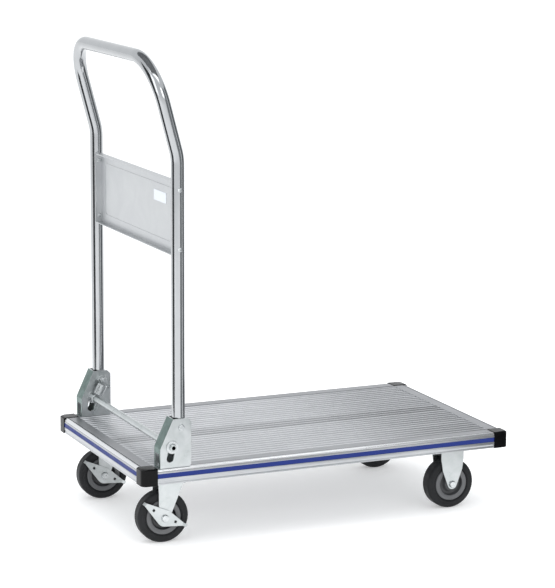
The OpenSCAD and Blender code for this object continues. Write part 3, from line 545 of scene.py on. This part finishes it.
def wheels():
    """Tyre and hub of each wheel, on its own axle."""
    for name in ("swivel", "fixed"):
        for side in ("near", "far"):
            turn = SWIVEL_TURN if name == "swivel" else 0.0
            place = Matrix.Translation(centre(f"{name}_tyre_{side}")) @ Matrix.Rotation(turn, 4, "Z")
            body = f"{name}_wheel_{side}"
            tyre = bmesh.new()
            turned(tyre, tyre_profile(), place)
            bmesh.ops.recalc_face_normals(tyre, faces=tyre.faces)
            mesh = mesh_from(tyre, "tyre", "tyre_rubber", crease=50)
            new_piece(f"{name}_moulded_tyre_{side}", mesh, body, "tyre_rubber", f"{name}_tyre_{side}")
            hub = bmesh.new()
            turned(hub, hub_profile(), place)
            middle = place.translation
            # faces inside the dish get the darker grey: painted shade
            for face in hub.faces:
                spot = face.calc_center_median() - middle
                across = spot.dot(place.to_3x3() @ Vector((0, 1, 0)))
                if (spot - place.to_3x3() @ Vector((0, across, 0))).length < PAINTED_SHADE_RADIUS:
                    face.material_index = 1
            bmesh.ops.recalc_face_normals(hub, faces=hub.faces)
            mesh = mesh_from(hub, "hub", "hub_plastic", "painted_shade_dish", crease=40)
            new_piece(f"{name}_moulded_hub_{side}", mesh, body, "hub_plastic", f"{name}_hub_{side}")
            softened(f"{name}_bush_{side}", 0.3, "bush_plastic", "bush_plastic")


# ---------- what repeats: made by node trees ----------

def node_group(name, *sockets):
    """An empty geometry tree with named inputs."""
    tree = bpy.data.node_groups.new(name, "GeometryNodeTree")
    for label, kind, value in sockets:
        socket = tree.interface.new_socket(label, in_out="INPUT", socket_type=kind)
        if value is not None:
            socket.default_value = value
    tree.interface.new_socket("Geometry", in_out="OUTPUT", socket_type="NodeSocketGeometry")
    return tree, add(tree, "NodeGroupInput"), add(tree, "NodeGroupOutput")


def grown(name, mesh, tree, values):
    """Runs a tree on a mesh and returns the plain mesh that it makes."""
    seed = bpy.data.objects.new(name, mesh)
    bpy.context.scene.collection.objects.link(seed)
    modifier = seed.modifiers.new(name, "NODES")
    modifier.node_group = tree
    for socket in tree.interface.items_tree:
        if socket.in_out == "INPUT" and socket.name in values:
            modifier[socket.identifier] = values[socket.name]
    held = bpy.context.evaluated_depsgraph_get()
    plain = bpy.data.meshes.new_from_object(seed.evaluated_get(held))
    seed.modifiers.remove(modifier)
    bpy.data.objects.remove(seed)
    return plain


def coil_tree():
    """A close-wound spring with a loop at each end, about a line along Z from its upper loop down."""
    lengths = ("Coil Radius", "Wire Radius", "Turns", "Body Length", "Body Start", "Upper Loop",
        "Lower Loop", "Span")
    tree, given, result = node_group("coil_spring", ("Geometry", "NodeSocketGeometry", None),
        *[(label, "NodeSocketFloat", 0.0) for label in lengths],
        ("Turn", "NodeSocketVector", None), ("Finish", "NodeSocketMaterial", None))
    coil = add(tree, "GeometryNodeCurveSpiral",
        {"Resolution": 24, "Rotations": given.outputs["Turns"],
        "Start Radius": given.outputs["Coil Radius"], "End Radius": given.outputs["Coil Radius"],
        "Height": given.outputs["Body Length"]})
    drop = add(tree, "ShaderNodeCombineXYZ", {"Z": given.outputs["Body Start"]})
    body = add(tree, "GeometryNodeTransform", {"Geometry": coil.outputs[0], "Translation": drop.outputs[0]})
    upper = add(tree, "GeometryNodeCurvePrimitiveCircle",
        {"Resolution": 28, "Radius": given.outputs["Upper Loop"]}, mode="RADIUS")
    stood = add(tree, "GeometryNodeTransform",
        {"Geometry": upper.outputs[0], "Rotation": (math.pi / 2, 0, 0)})
    lower = add(tree, "GeometryNodeCurvePrimitiveCircle",
        {"Resolution": 28, "Radius": given.outputs["Lower Loop"]}, mode="RADIUS")
    fall = add(tree, "ShaderNodeMath", {0: given.outputs["Span"], 1: -1.0}, operation="MULTIPLY")
    foot = add(tree, "ShaderNodeCombineXYZ", {"Z": fall.outputs[0]})
    hung = add(tree, "GeometryNodeTransform",
        {"Geometry": lower.outputs[0], "Translation": foot.outputs[0], "Rotation": (math.pi / 2, 0, 0)})
    curves = add(tree, "GeometryNodeJoinGeometry")
    for part in (body, stood, hung):
        tree.links.new(part.outputs[0], curves.inputs[0])
    wire = add(tree, "GeometryNodeCurvePrimitiveCircle",
        {"Resolution": 10, "Radius": given.outputs["Wire Radius"]}, mode="RADIUS")
    swept = add(tree, "GeometryNodeCurveToMesh",
        {"Curve": curves.outputs[0], "Profile Curve": wire.outputs[0], "Fill Caps": True})
    copies = add(tree, "GeometryNodeInstanceOnPoints",
        {"Points": given.outputs["Geometry"], "Instance": swept.outputs[0],
        "Rotation": given.outputs["Turn"]})
    real = add(tree, "GeometryNodeRealizeInstances", {0: copies.outputs[0]})
    painted = add(tree, "GeometryNodeSetMaterial",
        {"Geometry": real.outputs[0], "Material": given.outputs["Finish"]})
    tree.links.new(painted.outputs[0], result.inputs[0])
    return tree


def copies_tree():
    """One made part repeated at every point it is given."""
    tree, given, result = node_group("repeated_part", ("Geometry", "NodeSocketGeometry", None),
        ("Part", "NodeSocketObject", None), ("Finish", "NodeSocketMaterial", None))
    part = add(tree, "GeometryNodeObjectInfo", {"Object": given.outputs["Part"]})
    copies = add(tree, "GeometryNodeInstanceOnPoints",
        {"Points": given.outputs["Geometry"], "Instance": part.outputs["Geometry"]})
    real = add(tree, "GeometryNodeRealizeInstances", {0: copies.outputs[0]})
    painted = add(tree, "GeometryNodeSetMaterial",
        {"Geometry": real.outputs[0], "Material": given.outputs["Finish"]})
    tree.links.new(painted.outputs[0], result.inputs[0])
    return tree


COPIES = copies_tree()


def repeated(name, part, places, body, finish_key, slot, node, crease=30):
    """A part repeated at its places, as one piece for its body."""
    model = bpy.data.objects.new(name + "_model", part)
    bpy.context.scene.collection.objects.link(model)
    points = bpy.data.meshes.new(name)
    points.from_pydata([tuple(p) for p in places], [], [])
    mesh = grown(name, points, COPIES, {"Part": model, "Finish": FINISH[finish_key]})
    bpy.data.objects.remove(model)
    mesh.set_sharp_from_angle(angle=math.radians(crease))
    return new_piece(name, mesh, body, slot, node)


def hex_head(flats, height, shank_radius, shank_from, shank_to):
    """A hexagon bolt head or nut from Z 0 up to its height, chamfered, with its shank along Z, in mm."""
    shape = bmesh.new()
    radius = flats / 2 / math.cos(math.radians(30))
    levels = ((0, 0.93), (0.5, 1.0), (height - 0.7, 1.0), (height, 0.9))
    corners = [math.radians(60 * k) for k in range(6)]
    rings = []
    for z, share in levels:
        reach = radius * share * MM
        rings.append([shape.verts.new((reach * math.cos(c), reach * math.sin(c), z * MM)) for c in corners])
    for a, b in zip(rings, rings[1:]):
        for k in range(6):
            j = (k + 1) % 6
            shape.faces.new((a[k], a[j], b[j], b[k]))
    shape.faces.new(rings[-1])
    shape.faces.new(list(reversed(rings[0])))
    rod = bmesh.ops.create_cone(shape, cap_ends=True, segments=20, radius1=shank_radius * MM,
        radius2=shank_radius * MM, depth=(shank_to - shank_from) * MM)
    bmesh.ops.translate(shape, verts=rod["verts"], vec=(0, 0, (shank_from + shank_to) / 2 * MM))
    bmesh.ops.recalc_face_normals(shape, faces=shape.faces)
    return mesh_from(shape, "hexagon", "bright_steel", crease=30)


def ball():
    """A polished bearing ball."""
    low, high = islands("swivel_balls")[0]
    shape = bmesh.new()
    bmesh.ops.create_uvsphere(shape, u_segments=20, v_segments=12, radius=(high.z - low.z) / 2)
    # the sphere tool makes its faces in an order that varies from run to run
    shape.verts.index_update()
    order = sorted(shape.faces, key=lambda face: sorted(vert.index for vert in face.verts))
    place = {face: i for i, face in enumerate(order)}
    shape.faces.sort(key=place.get)
    return mesh_from(shape, "ball", "bright_steel", crease=60)


def fasteners():
    """Screws, bolts, nuts and balls, each placed where the CAD has it."""
    boxes = islands("bearer_screws")
    heads = [((a.x + b.x) / 2, (a.y + b.y) / 2, a.z) for a, b in boxes]
    repeated("deck_bearer_screws", hex_head(8, 3, 2.5, 2, 12.8), heads, "platform", "bright_steel",
        "zinc_steel", "bearer_screws")
    boxes = islands("caster_bolts")
    heads = [((a.x + b.x) / 2, (a.y + b.y) / 2, b.z - 5.3 * MM) for a, b in boxes]
    repeated("caster_hex_bolts", hex_head(13, 5.3, 4, -13.3, 1), heads, "platform", "bright_steel",
        "zinc_steel", "caster_bolts")
    boxes = islands("caster_nuts")
    feet = [((a.x + b.x) / 2, (a.y + b.y) / 2, a.z) for a, b in boxes]
    repeated("caster_hex_nuts", hex_head(13, 6.5, 3.9, 0.2, 6.2), feet, "platform", "bright_steel",
        "zinc_steel", "caster_nuts")
    middles = [(a + b) / 2 for a, b in islands("swivel_balls")]
    repeated("swivel_bearing_balls", ball(), middles, "platform", "bright_steel", "bright_steel",
        "swivel_balls", crease=60)


def springs():
    """The two return springs, each stretching between the pivot bolt and the release bar."""
    coil = coil_tree()
    pivot = centre("pivot_sleeves")
    bar = centre("release_bar")
    tilt = math.atan2(pivot.x - bar.x, pivot.z - bar.z)
    span = (Vector((pivot.x, 0, pivot.z)) - Vector((bar.x, 0, bar.z))).length
    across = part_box("latch_springs")[1].y - 10 * MM
    points = bpy.data.meshes.new("spring_places")
    points.from_pydata([(pivot.x, -across, pivot.z), (pivot.x, across, pivot.z)], [], [])
    above, below, pitch = 8 * MM, 10.8 * MM, 2.35 * MM
    body = span - above - below
    mesh = grown("springs", points, coil, {
        "Coil Radius": 8.8 * MM, "Wire Radius": 1.1 * MM, "Turns": body / pitch, "Body Length": body,
        "Body Start": -above - body, "Upper Loop": 5.4 * MM, "Lower Loop": 7.9 * MM, "Span": span,
        "Turn": (0, tilt, 0), "Finish": FINISH["bright_steel"]})
    mesh.shade_smooth()
    piece = bpy.data.objects.new("return_spring_coils", mesh)
    bpy.context.scene.collection.objects.link(piece)
    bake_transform(piece)
    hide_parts("latch_springs")


bent_tube()
wheels()
fasteners()
springs()


# ---------- camera, light and floor ----------

def reflection_card(shape, shade):
    """A dull card seen only in reflections."""
    mesh = bpy.data.meshes.new("card")
    shape.to_mesh(mesh)
    shape.free()
    dull, _, shader = finish("studio_card", Roughness=1.0)
    shader.inputs["Base Color"].default_value = srgb(shade)
    mesh.materials.append(dull)
    card = bpy.data.objects.new("card", mesh)
    bpy.context.scene.collection.objects.link(card)
    card.visible_camera = card.visible_diffuse = card.visible_shadow = False


def studio():
    """Camera, pale floor, three soft area lights, and cards that show only in reflections."""
    scene = bpy.context.scene
    scene.view_settings.view_transform = "Standard"
    azimuth, elevation, roll = math.radians(-24.09), math.radians(11.03), math.radians(0.31)
    level = math.cos(elevation)
    back = Vector((math.sin(azimuth) * level, -math.cos(azimuth) * level, math.sin(elevation)))
    right = Vector((math.cos(azimuth), math.sin(azimuth), 0))
    tilted = right * math.cos(roll) + back.cross(right) * math.sin(roll)
    lens = bpy.data.cameras.new("camera")
    lens.sensor_fit = "HORIZONTAL"
    lens.sensor_width = 36
    lens.lens = 2426.6 * 36 / 555
    lens.clip_end = 100
    camera = bpy.data.objects.new("camera", lens)
    scene.collection.objects.link(camera)
    stand = Vector((-9.23, 0, 423.23)) * MM + back * 4.7886
    turn = Matrix((tilted, back.cross(tilted), back)).transposed().to_4x4()
    camera.matrix_world = Matrix.Translation(stand) @ turn
    scene.camera = camera

    ground = bmesh.new()
    bmesh.ops.create_circle(ground, cap_ends=True, segments=96, radius=60)
    mesh = bpy.data.meshes.new("floor")
    ground.to_mesh(mesh)
    ground.free()
    floor = bpy.data.objects.new("floor", mesh)
    scene.collection.objects.link(floor)
    # a faint glow keeps the shadows pale
    paper, _, shader = finish("white_studio_paper", Roughness=0.9, Emission_Color=srgb("#FFFFFF"),
        Emission_Strength=0.32)
    shader.inputs["Base Color"].default_value = srgb("#E7E7E7")
    mesh.materials.append(paper)

    world = bpy.data.worlds.new("studio")
    scene.world = world
    world.use_nodes = True
    sky = world.node_tree.nodes["Background"]
    sky.inputs["Color"].default_value = srgb("#F2F4F6")
    sky.inputs["Strength"].default_value = 1.12
    for name, place, size, power in (
        ("overhead_softbox", (-0.3, -0.6, 3.4), (3.4, 3.0), 60),
        ("left_softbox", (-3.2, -1.2, 1.5), (1.6, 2.2), 16),
        ("camera_softbox", (0.6, -4.2, 2.2), (2.4, 1.6), 26),
    ):
        light = bpy.data.lights.new(name, "AREA")
        light.shape = "RECTANGLE"
        light.size, light.size_y = size
        light.energy = power
        lamp = bpy.data.objects.new(name, light)
        scene.collection.objects.link(lamp)
        lamp.location = place
        lamp.rotation_euler = (Vector((0, 0, 0.35)) - Vector(place)).to_track_quat("-Z", "Y").to_euler()

    # cards round the trolley that show only as streaks in bright metal
    around = math.atan2(back.y, back.x)
    handle_x, away, heights = -0.3, 0.95, (0.02, 1.3)
    for bearing, width, shade in ((-66, 42, "#3E4042"), (52, 30, "#8C8F91"), (98, 44, "#66696B")):
        card = bmesh.new()
        turns = [around + math.radians(bearing + width * (i / 12 - 0.5)) for i in range(13)]
        spots = [(handle_x + away * math.cos(t), away * math.sin(t)) for t in turns]
        rims = [[card.verts.new((x, y, z)) for z in heights] for x, y in spots]
        for a, b in zip(rims, rims[1:]):
            card.faces.new((a[0], b[0], b[1], a[1]))
        reflection_card(card, shade)
    card = bmesh.new()
    above = Matrix.Translation((handle_x, 0, 1.9))
    bmesh.ops.create_grid(card, x_segments=1, y_segments=1, size=0.8, matrix=above)
    reflection_card(card, "#6E7072")


studio()
